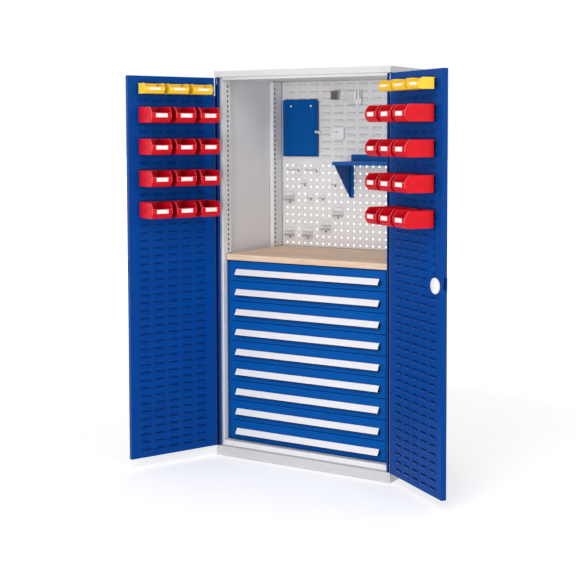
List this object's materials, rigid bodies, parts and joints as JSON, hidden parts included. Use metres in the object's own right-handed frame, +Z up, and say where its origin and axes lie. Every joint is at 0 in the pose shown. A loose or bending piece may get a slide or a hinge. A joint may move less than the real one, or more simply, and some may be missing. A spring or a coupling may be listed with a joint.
{
  "type": "tool cabinet",
  "caption": "Tall tool cabinet with hinged louvred doors that carry bins, a louvred and perforated tool wall, a shelf, a wood worktop and a block of full-width drawers.",
  "frame": {"origin": "middle of the cabinet base, on the floor", "axes": "+Z up, +X to the right seen from the front, -Y towards the viewer; doors open and drawers shut at rest"},
  "size_m": [1.6156, 1.045, 1.95],
  "materials": {
    "steel_blue": "satin",
    "steel_grey": "satin",
    "steel_light": "satin",
    "wood": "satin",
    "alu": "satin",
    "zinc": "brushed",
    "red_plastic": "matte",
    "yellow_plastic": "matte",
    "card": "matte",
    "dark_plastic": "matte",
    "white_plastic": "matte",
    "lock_plug": "matte",
    "grey_plastic": "matte"
  },
  "bodies": {
    "cabinet": {"side_panels": "steel_grey", "top_cover": "steel_grey", "ceiling_panel": "steel_grey", "floor_panel": "steel_grey", "plinth": "steel_grey", "front_posts": "steel_light", "rear_posts": "steel_light", "back_panel": "steel_grey", "louvred_wall": "steel_light", "perforated_wall": "steel_light", "worktop": "wood", "housing_sides": "steel_blue", "housing_plates": "steel_blue", "drawer_runners": "zinc", "hinge_bushes": "dark_plastic", "document_board": "steel_blue", "clamp_holder": "grey_plastic", "rod_holder": "zinc", "wall_shelf": "steel_blue", "shelf_brackets": "steel_blue", "long_hooks": "zinc", "small_clips": "zinc", "wide_clips": "zinc", "hook_locks": "lock_plug"},
    "door_left": {"door_left_shell": "steel_blue", "door_left_panel": "steel_blue", "door_left_pins": "zinc", "door_left_yellow_bins": "yellow_plastic", "door_left_red_bins": "red_plastic", "door_left_label_cards": "card"},
    "door_right": {"door_right_shell": "steel_blue", "door_right_panel": "steel_blue", "door_right_pins": "zinc", "door_right_yellow_bins": "yellow_plastic", "door_right_red_bins": "red_plastic", "door_right_label_cards": "card", "rod_guides": "zinc", "lock_cover_disc": "white_plastic"},
    "lock_handle": {"lock_handle": "dark_plastic", "lock_cam": "zinc"},
    "rod_upper": {"lock_rod_upper": "zinc"},
    "rod_lower": {"lock_rod_lower": "zinc"},
    "drawer_1": {"drawer_1": "steel_blue", "drawer_1_handle": "alu"},
    "drawer_2": {"drawer_2": "steel_blue", "drawer_2_handle": "alu"},
    "drawer_3": {"drawer_3": "steel_blue", "drawer_3_handle": "alu"},
    "drawer_4": {"drawer_4": "steel_blue", "drawer_4_handle": "alu"},
    "drawer_5": {"drawer_5": "steel_blue", "drawer_5_handle": "alu"},
    "drawer_6": {"drawer_6": "steel_blue", "drawer_6_handle": "alu"},
    "drawer_7": {"drawer_7": "steel_blue", "drawer_7_handle": "alu"},
    "drawer_8": {"drawer_8": "steel_blue", "drawer_8_handle": "alu"},
    "drawer_9": {"drawer_9": "steel_blue", "drawer_9_handle": "alu"}
  },
  "joints": [
    {"name": "door_left_hinge", "type": "hinge", "parent": "cabinet", "child": "door_left", "pos_m": [-0.492, -0.279, 0.985], "axis": [0, 0, -1], "range_deg": [-114.9, 65.1]},
    {"name": "door_right_hinge", "type": "hinge", "parent": "cabinet", "child": "door_right", "pos_m": [0.492, -0.279, 0.985], "axis": [0, 0, 1], "range_deg": [-146.5, 33.5]},
    {"name": "lock_turn", "type": "hinge", "parent": "door_right", "child": "lock_handle", "pos_m": [0.86415, -0.51213, 0.983], "axis": [0.5519, 0.8339, 0], "range_deg": [0, 90]},
    {"name": "rod_upper_slide", "type": "slide", "parent": "door_right", "child": "rod_upper", "axis": [0, 0, 1], "range_m": [0, 0.0198]},
    {"name": "rod_lower_slide", "type": "slide", "parent": "door_right", "child": "rod_lower", "axis": [0, 0, -1], "range_m": [0, 0.0198]},
    {"name": "drawer_1_slide", "type": "slide", "parent": "cabinet", "child": "drawer_1", "axis": [0, -1, 0], "range_m": [0, 0.4]},
    {"name": "drawer_2_slide", "type": "slide", "parent": "cabinet", "child": "drawer_2", "axis": [0, -1, 0], "range_m": [0, 0.4]},
    {"name": "drawer_3_slide", "type": "slide", "parent": "cabinet", "child": "drawer_3", "axis": [0, -1, 0], "range_m": [0, 0.4]},
    {"name": "drawer_4_slide", "type": "slide", "parent": "cabinet", "child": "drawer_4", "axis": [0, -1, 0], "range_m": [0, 0.4]},
    {"name": "drawer_5_slide", "type": "slide", "parent": "cabinet", "child": "drawer_5", "axis": [0, -1, 0], "range_m": [0, 0.4]},
    {"name": "drawer_6_slide", "type": "slide", "parent": "cabinet", "child": "drawer_6", "axis": [0, -1, 0], "range_m": [0, 0.4]},
    {"name": "drawer_7_slide", "type": "slide", "parent": "cabinet", "child": "drawer_7", "axis": [0, -1, 0], "range_m": [0, 0.4]},
    {"name": "drawer_8_slide", "type": "slide", "parent": "cabinet", "child": "drawer_8", "axis": [0, -1, 0], "range_m": [0, 0.4]},
    {"name": "drawer_9_slide", "type": "slide", "parent": "cabinet", "child": "drawer_9", "axis": [0, -1, 0], "range_m": [0, 0.4]}
  ],
  "couplings": [
    {"joint": "rod_upper_slide", "follows": "lock_turn", "m_per_rad": 0.012604},
    {"joint": "rod_lower_slide", "follows": "lock_turn", "m_per_rad": 0.012604}
  ]
}
